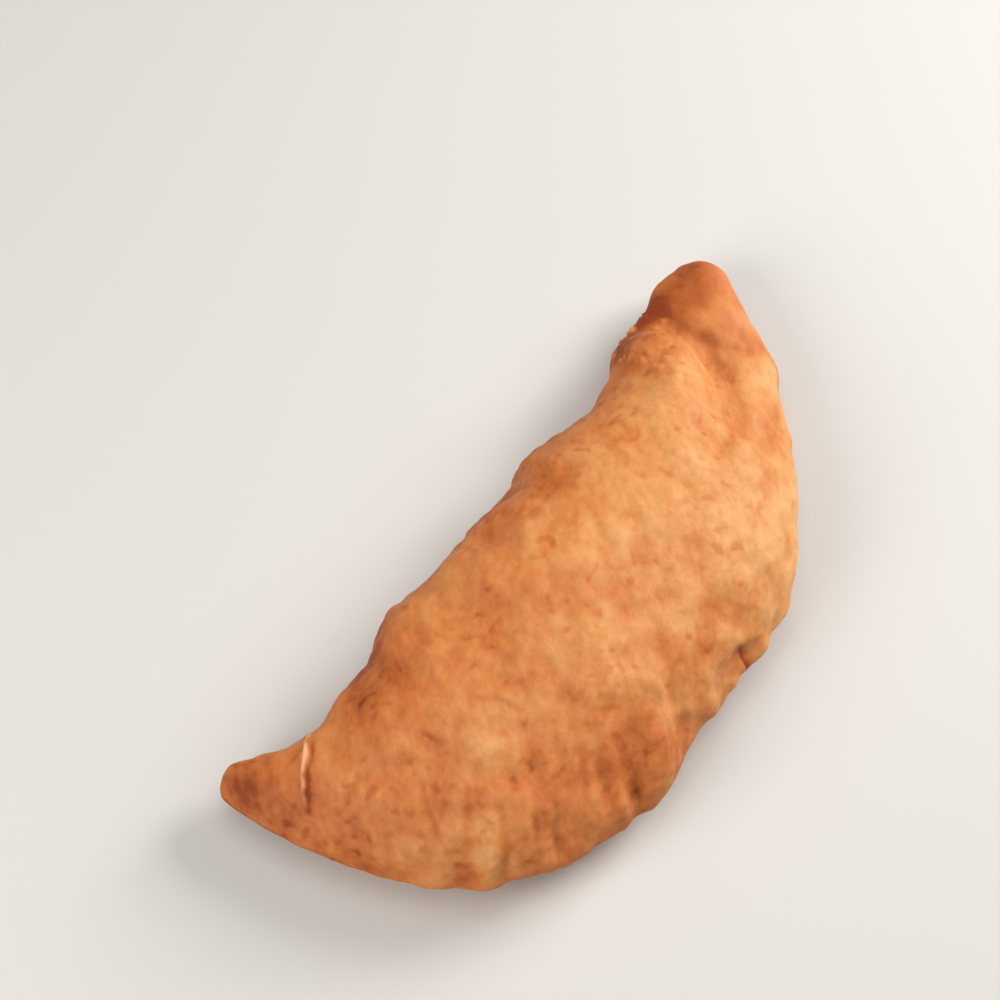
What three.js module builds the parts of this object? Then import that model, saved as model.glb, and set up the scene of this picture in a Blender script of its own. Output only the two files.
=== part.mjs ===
// A fried calzone: a round of dough folded in half over its filling, pinched shut along the curved edge
// and fried until it puffed and browned. It is one closed crust, worked out as a rounded section carried
// from horn to horn, with the creases, ruffles, finger prints and blisters raised on it.
// Millimetres, +Z up. +X points to the far horn, the pinched seam curves round the -Y side and the fold
// lies on the +Y side. The origin is at the middle of the bounding box, on the surface it rests on.
import * as THREE from 'three';

// ---- Driving dimensions ----
const LENGTH = 224.5; // horn tip to horn tip
const BELLY = 95; // how far the curved seam stands out from the line of the fold
const APEX = -39.6; // where along the length the seam stands out most
const FULLNESS = { far: 1.83, near: 1.96 }; // superellipse powers of the seam on either side of the apex
const DOME = 27.5; // top of the filled part above the seam
const DEPTH = 22; // underside of the filled part below the seam
const HORN_TOP = 10.5; // half thickness of the unfilled horns, upwards
const HORN_DEPTH = 8; // and downwards
const SEAM_LEVEL = 17; // height of the pinched seam above the table
const FOLD_LEVEL = 15.5; // height of the widest line of the fold above the table
const HORN_DROP = 3; // how much lower than the middle the horns' tips lie
const FILLED_HALF = 104; // half the length that the filling lifts

// Where the hand-shaped edges leave the smooth curve: [along, outwards] pairs.
const SEAM_WAVER = [
  [-108, -3.5], [-99, -2], [-87, -1.5], [-76, -3.5], [-68, -2.5], [-60, -4.5], [-51, -5.5], [-40, -3.5],
  [-28, -2], [-15, -4.5], [-4, -2.5], [8, -2], [22, 2.5], [35, 4.5], [50, 2.5], [62, -0.5],
  [75, -2.5], [86, -6], [94, -4.5], [104, -10],
];
const FOLD_LINE = [
  [-105, 7.5], [-98, 2], [-88, -4.5], [-80, -6.5], [-72, -5.5], [-62, -5], [-50, -1.5], [-42, 0.5],
  [-30, -1.5], [-20, -1], [-6, -1.5], [8, -1], [18, 2], [30, -0.5], [42, -2.5], [54, -1],
  [66, 4.5], [75, 5.5], [86, 8], [100, 11],
];

// The far end of the filling stands as a rounded shoulder above the flat far horn, with a valley outside it.
const SHOULDER = {
  route: [[70, 10], [77, 1], [80, -8], [79, -19], [73, -28], [63, -38], [53, -47], [44, -56]],
  rounding: 15, // how far inside its edge the shoulder reaches full height
  melts: [0.42, 0.95], // share of the route over which it sinks into the band along the seam
  valley: { at: 3, depth: 1.6, width: 5 },
};
// The near horn is folded over: a cracked lip stands on the horn's side of a crease, and both run together
// as they fade. Each `per` is a change from the start of the route to its end.
const NEAR_CREASE = {
  route: [
    [-79, -2.5], [-83.5, -6], [-87.2, -8.8], [-90.6, -11.3], [-93.9, -13.5], [-96.9, -15.8], [-99, -17.5],
    [-100.9, -19.3], [-103.2, -22.2], [-104.5, -25],
  ],
  opens: [0.1, 0.3],
  lip: { height: 0.7, width: 1.3, per: -0.5, fades: [0.7, 0.95] },
  crease: { at: 1.8, per: -0.9, depth: 1.2, width: 1, fades: [0.85, 1] },
  hollow: { at: 5, depth: 0.6, width: 5 },
};
// Hollows that run in over the crust: a dent from the fold, the foot of the far horn, and a soft valley
// beside it.
const HOLLOWS = [
  { route: [[15, 8], [12, -4], [15, -16], [21, -28]], depth: 1.6, width: 7, fades: [0.5, 1] },
  { route: [[83, 6], [85, -1], [84.5, -10], [82, -18], [76, -26]], depth: 0.35, width: 2.2, fades: [0.5, 1] },
  { route: [[83, -9], [86, -19], [88.5, -26], [93, -32]], depth: 0.9, width: 2.4, fades: [0.6, 1] },
];
// One tuck where there was too much dough for the curve of the seam: a step with a slope behind it.
const TUCK = {
  route: [[7, -95], [9.5, -90], [10.6, -86.4], [11, -84.2], [11, -82]],
  depth: 1.3,
  edge: 0.9,
  width: 3.2,
  fades: [0.55, 0.95],
};
// The seam itself: a pressed ridge, a groove under it, and the prints of the fingers beside it.
const SEAM = {
  ridge: { height: 0.7, width: 0.14 },
  groove: { at: 2 * Math.PI - 0.34, depth: 1.3, width: 0.16 },
  pitch: 7.5,
  print: { near: 0.8, far: 0.4, over: [10, 30] }, // deeper on the near half
  reach: 15,
  wander: 1.3,
  wanderPitch: 15,
};
// Ruffles run inwards from the seam of the near half, side by side and all one way.
const RUFFLES = {
  turn: 39.7, // degrees from the Y axis
  pitch: 4.2,
  length: 15,
  height: 2,
  rim: 0.3, // share of that height left at the rim itself
  reach: 24,
  from: [50, 75], // how far out they begin
  until: [-20, 8], // how far along they end
  near: { least: 0.4, over: [-90, -60] }, // towards the near horn they sink to this share
};
const LUMPS = [
  { size: 46, height: 1.5, seed: 3 },
  { size: 23, height: 0.8, seed: 4 },
  { size: 14, height: 1.1, seed: 6 },
];
// It stands on three low feet where the underside sagged most, round a flat patch in the middle.
const REST = {
  feet: [[-50, -24], [44, -30], [-2, -63]],
  footRadius: 20,
  patch: [0, -41],
  patchReach: [6, 16], // from where the patch is flat to where it has risen to the lift
  lift: 0.6, // how far the underside clears the table between the feet and the patch
  proud: 0.1, // how far the feet reach below the patch
};
const BLISTERS = { count: 16, seed: 7, radius: [5, 9], height: [0.5, 1.1] };

const STATIONS = 116; // sections from horn to horn
const ROWS = 50; // points round each section
const TOP_SHARE = 0.6; // share of those points on the upper side
const EVENNESS = 0.4; // 0 gathers the sections at the tips, 1 spaces them evenly
const FLOOR_ROUNDING = 0.6; // how softly the underside flattens on the table
const END_FADE = 1.5; // how far past its end a crease is still felt
const HALF = LENGTH / 2;

// ---- Curves ----
const clamp01 = (v) => Math.min(1, Math.max(0, v));
const bell = (v, centre, width) => Math.exp(-(((v - centre) / width) ** 2));

function ease(v, low, high) {
  const t = clamp01((v - low) / (high - low));
  return t * t * (3 - 2 * t);
}

// How far a section is from closing at a tip: 1 in the middle, 0 at both tips, blunter with a higher power.
const closing = (x, power) => Math.sqrt(Math.max(0, 1 - Math.abs(x / HALF) ** power));

// A smooth curve through [place, value] pairs, level beyond both ends.
function through(x, pairs) {
  const first = pairs[0];
  const last = pairs[pairs.length - 1];
  const run = 20;
  const knots = [[first[0] - run, first[1]], ...pairs, [last[0] + run, last[1]]];
  const slope = (n) => {
    if (n === 0 || n === knots.length - 1) return 0;
    return (knots[n + 1][1] - knots[n - 1][1]) / (knots[n + 1][0] - knots[n - 1][0]);
  };
  let n = 0;
  while (n < knots.length - 2 && knots[n + 1][0] <= x) n += 1;
  const step = knots[n + 1][0] - knots[n][0];
  const t = clamp01((x - knots[n][0]) / step);
  const start = (2 * t ** 3 - 3 * t ** 2 + 1) * knots[n][1] + (t ** 3 - 2 * t ** 2 + t) * step * slope(n);
  const end = (3 * t ** 2 - 2 * t ** 3) * knots[n + 1][1] + (t ** 3 - t ** 2) * step * slope(n + 1);
  return start + end;
}

// ---- The outline seen from above ----
function seamY(x) {
  const far = x > APEX;
  const reach = far ? HALF - APEX : HALF + APEX;
  const power = far ? FULLNESS.far : FULLNESS.near;
  const share = clamp01(1 - (Math.abs(x - APEX) / reach) ** power) ** (1 / power);
  return -(BELLY * share + through(x, SEAM_WAVER) * closing(x, 20));
}

const foldY = (x) => through(x, FOLD_LINE) * closing(x, 14);

// ---- Uneven dough: smooth noise between -1 and 1 from values scattered on a lattice ----
function scatter(i, j, k, seed) {
  const s = Math.sin(i * 127.1 + j * 311.7 + k * 74.7 + seed * 53.3) * 43758.5453;
  return s - Math.floor(s);
}

function noise(point, size, seed) {
  const p = point.clone().divideScalar(size);
  const turned = [p.x * 0.8 + p.y * 0.6, p.y * 0.8 - p.x * 0.6 + p.z * 0.5, p.z + p.x * 0.35 + 7];
  const cell = turned.map(Math.floor);
  const blend = turned.map((v, n) => {
    const f = v - cell[n];
    return f ** 3 * (f * (6 * f - 15) + 10);
  });
  let sum = 0;
  for (const corner of [0, 1, 2, 3, 4, 5, 6, 7]) {
    const step = [corner & 1, (corner >> 1) & 1, corner >> 2];
    const weight = step.reduce((w, s, n) => w * (s ? blend[n] : 1 - blend[n]), 1);
    sum += weight * scatter(cell[0] + step[0], cell[1] + step[1], cell[2] + step[2], seed);
  }
  return 2 * sum - 1;
}

// Evenly spread draws from a fixed seed.
function drawer(seed) {
  let state = seed;
  return (low, high) => {
    state = (state * 16807) % 2147483647;
    return low + ((high - low) * state) / 2147483647;
  };
}

// ---- Creases and hollows follow routes laid on the plan ----
function layRoute(points) {
  const knots = points.map(([x, y]) => new THREE.Vector3(x, y, 0));
  const curve = new THREE.CatmullRomCurve3(knots, false, 'catmullrom');
  const steps = 20 * (points.length - 1);
  return Array.from({ length: steps + 1 }, (_, n) => ({
    share: n / steps,
    at: curve.getPoint(n / steps),
    along: curve.getTangent(n / steps),
  }));
}

// A place on the plan against a route: how far to the left of its travel, how far along, how far past an end.
function beside(x, y, route) {
  const place = new THREE.Vector3(x, y, 0);
  let nearest = route[0];
  for (const stop of route) {
    if (stop.at.distanceToSquared(place) < nearest.at.distanceToSquared(place)) nearest = stop;
  }
  const offset = place.sub(nearest.at);
  return {
    across: offset.y * nearest.along.x - offset.x * nearest.along.y,
    share: nearest.share,
    past: Math.abs(offset.dot(nearest.along)),
  };
}

const shoulderRoute = layRoute(SHOULDER.route);
const creaseRoute = layRoute(NEAR_CREASE.route);
const hollowRoutes = HOLLOWS.map((hollow) => layRoute(hollow.route));
const tuckRoute = layRoute(TUCK.route);

// ---- The rounded section ----
// How much of the filling lies under a section: 1 in the middle, falling to 0 at the horns.
function filling(x) {
  const share = Math.min(1, Math.abs(x / FILLED_HALF));
  return Math.cos((Math.PI / 2) * share) ** 0.62 * closing(x, 10);
}

// Half a section's height above the seam: the horn's own thickness, and on it the dome with its shoulder.
function topHeight(x, y, lift, side) {
  const { across, share } = beside(x, y, shoulderRoute);
  const melted = ease(share, ...SHOULDER.melts);
  const rounded = 1 - (1 - clamp01(-across / SHOULDER.rounding)) ** 2;
  const shoulder = rounded + (1 - rounded) * melted;
  const { at, depth, width } = SHOULDER.valley;
  const valley = (1 - melted) * depth * bell(across, at, width) * closing(x, 6);
  const height = HORN_TOP * closing(x, 10) + (DOME - HORN_TOP) * filling(x) * shoulder;
  return height * lift * (1 - 0.1 * side) - valley * lift;
}

// A point of the smooth crust. The angle runs from the seam over the top to the fold and back underneath.
function crustPoint(x, angle) {
  const rise = Math.sin(angle);
  const side = Math.cos(angle);
  const across = (1 - side) / 2;
  const y = seamY(x) + (foldY(x) - seamY(x)) * across;
  const power = 1.15 - 0.33 * across;
  const drift = noise(new THREE.Vector3(x, 0, 0), SEAM.wanderPitch, 21);
  const wander = SEAM.wander * drift * (1 - ease(across, 0, 0.3));
  const drop = HORN_DROP * Math.abs(x / HALF) ** 3;
  const level = SEAM_LEVEL + (FOLD_LEVEL - SEAM_LEVEL) * across - drop + wander;
  if (rise > 0) return new THREE.Vector3(x, y, level + topHeight(x, y, rise ** power, side));
  const depth = HORN_DEPTH * closing(x, 10) + (DEPTH - HORN_DEPTH) * filling(x);
  return new THREE.Vector3(x, y, level - depth * Math.abs(rise) ** (power * 0.8));
}

// ---- What stands proud of the smooth crust or is pressed into it ----
function creaseRelief(x, y) {
  const { across, share, past } = beside(x, y, creaseRoute);
  const { opens, lip, crease, hollow } = NEAR_CREASE;
  const open = bell(past, 0, END_FADE) * ease(share, ...opens);
  const stands = (1 - ease(share, ...lip.fades)) * lip.height * bell(across, 0, lip.width + lip.per * share);
  const cut = crease.depth * bell(across, crease.at + crease.per * share, crease.width);
  const sunk = hollow.depth * bell(across, hollow.at, hollow.width);
  return open * (stands - (1 - ease(share, ...crease.fades)) * (cut + sunk));
}

function hollowRelief(x, y) {
  return HOLLOWS.reduce((height, hollow, n) => {
    const { across, share, past } = beside(x, y, hollowRoutes[n]);
    const open = (1 - ease(share, ...hollow.fades)) * bell(past, 0, END_FADE);
    return height - open * hollow.depth * bell(across, 0, hollow.width);
  }, 0);
}

// The tuck spares the rim of the seam, which stays a smooth line.
function tuckRelief(x, y, rise, side) {
  const { across, share, past } = beside(x, y, tuckRoute);
  const inside = ease(side, 0, 0.6) * ease(rise, 0, 0.3);
  const shown = inside * (1 - ease(share, ...TUCK.fades)) * bell(past, 0, END_FADE);
  return -TUCK.depth * shown * ease(-across, 0, TUCK.edge) * bell(across, 0, TUCK.width);
}

function ruffleRelief(x, y) {
  const turn = THREE.MathUtils.degToRad(RUFFLES.turn);
  const crosswise = (x * Math.cos(turn) - y * Math.sin(turn)) / RUFFLES.pitch;
  const lengthwise = (x * Math.sin(turn) + y * Math.cos(turn)) / RUFFLES.length;
  const { least, over } = RUFFLES.near;
  const shown = ease(-y, ...RUFFLES.from) * (1 - ease(x, ...RUFFLES.until));
  const grown = least + (1 - least) * ease(x, ...over);
  return shown * grown * noise(new THREE.Vector3(crosswise, lengthwise, 0), 1, 5);
}

function seamRelief(x, y, angle, rise, up) {
  const { ridge, groove } = SEAM;
  const print = noise(new THREE.Vector3(x, y, 0), SEAM.pitch, 9);
  const pressed = bell(angle, 0, ridge.width) + bell(angle, 2 * Math.PI, ridge.width);
  const inwards = Math.abs(y - seamY(x));
  const above = up * bell(inwards, 0, SEAM.reach) * ease(rise, 0.02, 0.3);
  const below = 0.5 * (1 - up) * bell(inwards, 0, SEAM.reach * 0.7);
  const line = ridge.height * pressed - groove.depth * bell(angle, groove.at, groove.width);
  const { near, far, over } = SEAM.print;
  const printed = print * (near + (far - near) * ease(x, ...over));
  const spared = RUFFLES.rim + (1 - RUFFLES.rim) * ease(rise, 0.05, 0.4);
  const ruffled = RUFFLES.height * ruffleRelief(x, y) * up * spared * bell(inwards, 0, RUFFLES.reach);
  return closing(x, 8) * (line + printed * (above - below) + ruffled);
}

function layBlisters() {
  const draw = drawer(BLISTERS.seed);
  return Array.from({ length: BLISTERS.count }, () => {
    const x = draw(-0.8 * HALF, 0.8 * HALF);
    const across = draw(0.12, 0.92);
    const y = seamY(x) + (foldY(x) - seamY(x)) * across;
    return { x, y, radius: draw(...BLISTERS.radius), height: draw(...BLISTERS.height) };
  });
}

const blisters = layBlisters();

function blisterRelief(x, y, up) {
  return blisters.reduce((height, blister) => {
    const inside = clamp01(1 - ((x - blister.x) ** 2 + (y - blister.y) ** 2) / blister.radius ** 2);
    return height + up * blister.height * inside ** 2;
  }, 0);
}

function relief(point, angle) {
  const rise = Math.sin(angle);
  const side = Math.cos(angle);
  const up = ease(rise, -0.05, 0.3);
  const lumps = LUMPS.reduce((sum, lump) => sum + lump.height * noise(point, lump.size, lump.seed), 0);
  const height =
    lumps * (0.35 + 0.65 * ease(Math.abs(rise), 0.2, 0.7)) +
    up * (creaseRelief(point.x, point.y) + hollowRelief(point.x, point.y)) +
    tuckRelief(point.x, point.y, rise, side) +
    seamRelief(point.x, point.y, angle, rise, up) +
    blisterRelief(point.x, point.y, up);
  return height * closing(point.x, 6);
}

// The level at which the underside settles, above the table or at the feet a hair below the patch.
function restLevel(x, y) {
  const near = ([fx, fy]) => clamp01(1 - Math.hypot(x - fx, y - fy) / REST.footRadius);
  const foot = Math.max(...REST.feet.map(near));
  const patch = 1 - ease(Math.hypot(x - REST.patch[0], y - REST.patch[1]), ...REST.patchReach);
  return REST.lift * (1 - Math.max(foot, patch)) - REST.proud * foot;
}

// What would reach below that level is flattened on to it, with a soft edge.
function settle({ x, y, z }) {
  const level = restLevel(x, y);
  const over = z - level;
  if (over > FLOOR_ROUNDING) return z;
  if (over < -FLOOR_ROUNDING) return level;
  return level + (over + FLOOR_ROUNDING) ** 2 / (4 * FLOOR_ROUNDING);
}

// ---- The grid of sections and the closed mesh over it ----
function stationX(n) {
  const u = n / (STATIONS - 1);
  return HALF * (-Math.cos(Math.PI * u) * (1 - EVENNESS) + (2 * u - 1) * EVENNESS);
}

function rowAngle(n) {
  const v = n / ROWS;
  if (v < TOP_SHARE) return (Math.PI * v) / TOP_SHARE;
  return Math.PI + (Math.PI * (v - TOP_SHARE)) / (1 - TOP_SHARE);
}

function smoothGrid() {
  return Array.from({ length: STATIONS }, (_, i) =>
    Array.from({ length: ROWS }, (_row, j) => crustPoint(stationX(i), rowAngle(j))));
}

// The outward normal at a grid point, from its neighbours along and round the crust.
function outward(grid, i, j) {
  if (i === 0) return new THREE.Vector3(-1, 0, 0);
  if (i === STATIONS - 1) return new THREE.Vector3(1, 0, 0);
  const along = grid[i + 1][j].clone().sub(grid[i - 1][j]);
  const round = grid[i][(j + 1) % ROWS].clone().sub(grid[i][(j + ROWS - 1) % ROWS]);
  return along.cross(round).normalize();
}

function raisedGrid() {
  const grid = smoothGrid();
  return grid.map((section, i) => section.map((point, j) => {
    const raised = point.clone().addScaledVector(outward(grid, i, j), relief(point, rowAngle(j)));
    return raised.setZ(settle(raised));
  }));
}

// Both end sections shrink to one point each, so the skin closes there in a fan.
function crustGeometry() {
  const grid = raisedGrid();
  const vertices = [grid[0][0], ...grid.slice(1, -1).flat(), grid[STATIONS - 1][0]];
  const nearTip = 0;
  const farTip = vertices.length - 1;
  const at = (section, row) => 1 + section * ROWS + (row % ROWS);
  const faces = [];
  for (let row = 0; row < ROWS; row += 1) {
    faces.push(nearTip, at(0, row), at(0, row + 1));
    for (let section = 0; section < STATIONS - 3; section += 1) {
      faces.push(at(section, row), at(section + 1, row), at(section + 1, row + 1));
      faces.push(at(section, row), at(section + 1, row + 1), at(section, row + 1));
    }
    faces.push(farTip, at(STATIONS - 3, row + 1), at(STATIONS - 3, row));
  }
  const geometry = new THREE.BufferGeometry().setFromPoints(vertices);
  geometry.setIndex(faces);
  geometry.computeBoundingBox();
  const middle = geometry.boundingBox.getCenter(new THREE.Vector3());
  geometry.translate(-middle.x, -middle.y, -geometry.boundingBox.min.z);
  geometry.computeVertexNormals();
  return geometry;
}

function makeCalzone() {
  const crust = new THREE.MeshStandardMaterial({ color: 0xd08a4e, roughness: 0.5, metalness: 0 });
  const calzone = new THREE.Mesh(crustGeometry(), crust);
  calzone.name = 'calzone';
  return calzone;
}

const part = new THREE.Group();
part.add(makeCalzone());

export default part;
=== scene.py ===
"""A fried calzone on a pale table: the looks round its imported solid, in metres, in the solid's own frame.

+X runs from horn to horn and +Z is up. The pinched seam curves round the -Y side, and the fold lies on
the +Y side.
"""
import math

import bpy
import numpy as np
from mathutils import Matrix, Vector


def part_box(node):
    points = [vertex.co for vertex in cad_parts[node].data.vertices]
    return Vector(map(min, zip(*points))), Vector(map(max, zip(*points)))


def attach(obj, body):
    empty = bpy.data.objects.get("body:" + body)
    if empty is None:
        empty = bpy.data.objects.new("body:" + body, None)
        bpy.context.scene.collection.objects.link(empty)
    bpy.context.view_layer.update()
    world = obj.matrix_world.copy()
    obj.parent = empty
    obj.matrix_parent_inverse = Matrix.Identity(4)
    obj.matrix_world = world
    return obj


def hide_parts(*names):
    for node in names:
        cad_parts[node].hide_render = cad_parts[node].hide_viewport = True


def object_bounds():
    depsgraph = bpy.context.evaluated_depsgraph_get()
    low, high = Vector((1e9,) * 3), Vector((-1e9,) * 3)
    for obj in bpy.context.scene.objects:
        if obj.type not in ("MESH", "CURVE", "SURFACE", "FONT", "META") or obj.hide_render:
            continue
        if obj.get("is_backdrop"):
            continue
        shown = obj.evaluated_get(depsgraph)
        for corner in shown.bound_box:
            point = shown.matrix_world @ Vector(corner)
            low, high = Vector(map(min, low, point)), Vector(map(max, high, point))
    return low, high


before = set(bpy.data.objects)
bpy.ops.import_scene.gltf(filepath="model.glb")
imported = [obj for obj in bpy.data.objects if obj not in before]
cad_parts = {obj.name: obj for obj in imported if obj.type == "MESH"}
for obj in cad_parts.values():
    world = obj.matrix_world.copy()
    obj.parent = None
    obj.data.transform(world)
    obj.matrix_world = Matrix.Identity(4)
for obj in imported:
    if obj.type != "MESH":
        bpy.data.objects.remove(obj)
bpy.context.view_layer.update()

# ---- The folded dough ----
# A round of dough, folded in half over its filling. Seen from above, the fold runs nearly straight from
# horn to horn and the pinched edge swings out round the other side. Hands set both lines, so both waver.
MM = 0.001
low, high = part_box("calzone")
HALF = (high.x - low.x) / 2
BELLY = 95 * MM
APEX = -39.6 * MM
FULLNESS_FAR = 1.83
FULLNESS_NEAR = 1.96
SEAM_BLUNTNESS, FOLD_BLUNTNESS = 20, 14
SEAM_WAVER = np.array([
    (-108, -3.5), (-99, -2), (-87, -1.5), (-76, -3.5), (-68, -2.5), (-60, -4.5), (-51, -5.5),
    (-40, -3.5), (-28, -2), (-15, -4.5), (-4, -2.5), (8, -2), (22, 2.5), (35, 4.5),
    (50, 2.5), (62, -0.5), (75, -2.5), (86, -6), (94, -4.5), (104, -10),
]) * MM
FOLD_LINE = np.array([
    (-105, 7.5), (-98, 2), (-88, -4.5), (-80, -6.5), (-72, -5.5), (-62, -5), (-50, -1.5),
    (-42, 0.5), (-30, -1.5), (-20, -1), (-6, -1.5), (8, -1), (18, 2), (30, -0.5),
    (42, -2.5), (54, -1), (66, 4.5), (75, 5.5), (86, 8), (100, 11),
]) * MM


def share_of(values):
    """The values held between 0 and 1."""
    return np.clip(values, 0, 1)


def ease(values, start, end):
    """0 before start, 1 after end, and between them t*t*(3 - 2t) of the share t."""
    t = share_of((values - start) / (end - start))
    return t * t * (3 - 2 * t)


def bell(values, centre, width):
    """exp(-((value - centre) / width) squared)."""
    return np.exp(-(((values - centre) / width) ** 2))


def closing(x, power):
    """1 in the middle, 0 at both tips: the root of 1 - |x / half| to the power."""
    return np.sqrt(share_of(1 - np.abs(x / HALF) ** power))


def through(x, pairs):
    """The smooth curve through the pairs: cubics, each knot's slope from its neighbours, level outside."""
    run = 20 * MM
    at = np.concatenate([[pairs[0, 0] - run], pairs[:, 0], [pairs[-1, 0] + run]])
    value = np.concatenate([pairs[:1, 1], pairs[:, 1], pairs[-1:, 1]])
    slope = np.zeros(len(at))
    slope[1:-1] = (value[2:] - value[:-2]) / (at[2:] - at[:-2])
    n = np.clip(np.searchsorted(at, x, side="right") - 1, 0, len(at) - 2)
    step = at[n + 1] - at[n]
    t = share_of((x - at[n]) / step)
    start = (2 * t**3 - 3 * t**2 + 1) * value[n] + (t**3 - 2 * t**2 + t) * step * slope[n]
    end = (3 * t**2 - 2 * t**3) * value[n + 1] + (t**3 - t**2) * step * slope[n + 1]
    return start + end


def seam_y(x):
    """The seam seen from above: two quarter superellipses that meet at the apex, plus the waver."""
    far = x > APEX
    reach = np.where(far, HALF - APEX, HALF + APEX)
    power = np.where(far, FULLNESS_FAR, FULLNESS_NEAR)
    out = share_of(1 - (np.abs(x - APEX) / reach) ** power) ** (1 / power)
    return -(BELLY * out + through(x, SEAM_WAVER) * closing(x, SEAM_BLUNTNESS))


def fold_y(x):
    """The fold seen from above, drawn in to one point at either tip."""
    return through(x, FOLD_LINE) * closing(x, FOLD_BLUNTNESS)


# ---- Uneven dough ----
# Dough and filling are nowhere quite even. Smooth noise lifts broad lumps over the filling and finer ones
# in the skin, and creases and hollows follow routes laid on the plan.
STEPS_PER_SPAN = 20


def scatter(i, j, k, seed):
    """A value from 0 to 1 for each lattice point: the fraction of a large multiple of a sine."""
    s = np.sin(i * 127.1 + j * 311.7 + k * 74.7 + seed * 53.3) * 43758.5453
    return s - np.floor(s)


def noise(points, size, seed):
    """Smooth noise from -1 to 1: eight scattered corner values of a turned lattice, blended by
    t*t*t*(6t*t - 15t + 10) along each edge."""
    x, y, z = np.moveaxis(points / size, -1, 0)
    turned = (x * 0.8 + y * 0.6, y * 0.8 - x * 0.6 + z * 0.5, z + x * 0.35 + 7)
    cell = [np.floor(v) for v in turned]
    part = [v - c for v, c in zip(turned, cell)]
    blend = [t**3 * (t * (6 * t - 15) + 10) for t in part]
    total = 0
    for corner in range(8):
        step = (corner & 1, corner >> 1 & 1, corner >> 2)
        weight = 1
        for s, b in zip(step, blend):
            weight = weight * (b if s else 1 - b)
        total = total + weight * scatter(cell[0] + step[0], cell[1] + step[1], cell[2] + step[2], seed)
    return 2 * total - 1


def lay_route(points):
    """Places and directions along the Catmull-Rom curve through points given in millimetres."""
    p = np.array(points, float) * MM
    knots = np.vstack([2 * p[0] - p[1], p, 2 * p[-1] - p[-2]])
    t = np.linspace(0, 1, STEPS_PER_SPAN, endpoint=False)[:, None]
    spans = [
        (2 * b + (c - a) * t + (2 * a - 5 * b + 4 * c - d) * t**2 + (3 * b - a - 3 * c + d) * t**3) / 2
        for a, b, c, d in zip(knots[:-3], knots[1:-2], knots[2:-1], knots[3:])
    ]
    places = np.vstack(spans + [p[-1:]])
    along = np.gradient(places, axis=0)
    return places, along / np.linalg.norm(along, axis=1, keepdims=True)


def beside(x, y, route):
    """Each place against a route: how far left of its travel, the share along it, how far past an end."""
    nearest = np.full(x.shape, np.inf)
    across, share, past = (np.zeros(x.shape) for _ in range(3))
    places, along = route
    for n, (place, way) in enumerate(zip(places, along)):
        dx = x - place[0]
        dy = y - place[1]
        distance = dx * dx + dy * dy
        closer = distance < nearest
        nearest = np.where(closer, distance, nearest)
        across = np.where(closer, dy * way[0] - dx * way[1], across)
        past = np.where(closer, np.abs(dx * way[0] + dy * way[1]), past)
        share = np.where(closer, n / (len(places) - 1), share)
    return across, share, past


# ---- The filled body and its two horns ----
# The filling fills the middle and ends in a rounded shoulder. Past the shoulder the far horn is two flat
# thicknesses of dough, with a shallow valley at its foot. Both horns taper to blunt tips.
DOME = 27.5 * MM
DEPTH = 22 * MM
HORN_TOP = 10.5 * MM
HORN_DEPTH = 8 * MM
SEAM_LEVEL = 17 * MM
FOLD_LEVEL = 15.5 * MM
HORN_DROP = 3 * MM
FILLED_HALF = 104 * MM
FILLED_POWER = 0.62
BODY_BLUNTNESS = 10
SECTION_POWER, SECTION_POWER_FALL = 1.15, 0.33
UNDERSIDE_POWER = 0.8
LEAN = 0.1
SHOULDER = lay_route([(70, 10), (77, 1), (80, -8), (79, -19), (73, -28), (63, -38), (53, -47), (44, -56)])
SHOULDER_ROUNDING = 15 * MM
SHOULDER_MELTS = (0.42, 0.95)
VALLEY_AT, VALLEY_DEPTH, VALLEY_WIDTH = 3 * MM, 1.6 * MM, 5 * MM
VALLEY_BLUNTNESS = 6
SEAM_WANDER, WANDER_PITCH, WANDER_REACH = 1.3 * MM, 15 * MM, 0.3
STATIONS = 396
ROWS = 248
TOP_SHARE = 0.6
EVENNESS = 0.4
UPPER_SIDE = (-0.05, 0.3)


def filling(x):
    """How much filling is under a section: cos(quarter turn * x / filled half) to a power, closed at tips."""
    turn = np.pi / 2 * np.minimum(1, np.abs(x / FILLED_HALF))
    return np.cos(turn) ** FILLED_POWER * closing(x, BODY_BLUNTNESS)


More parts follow.
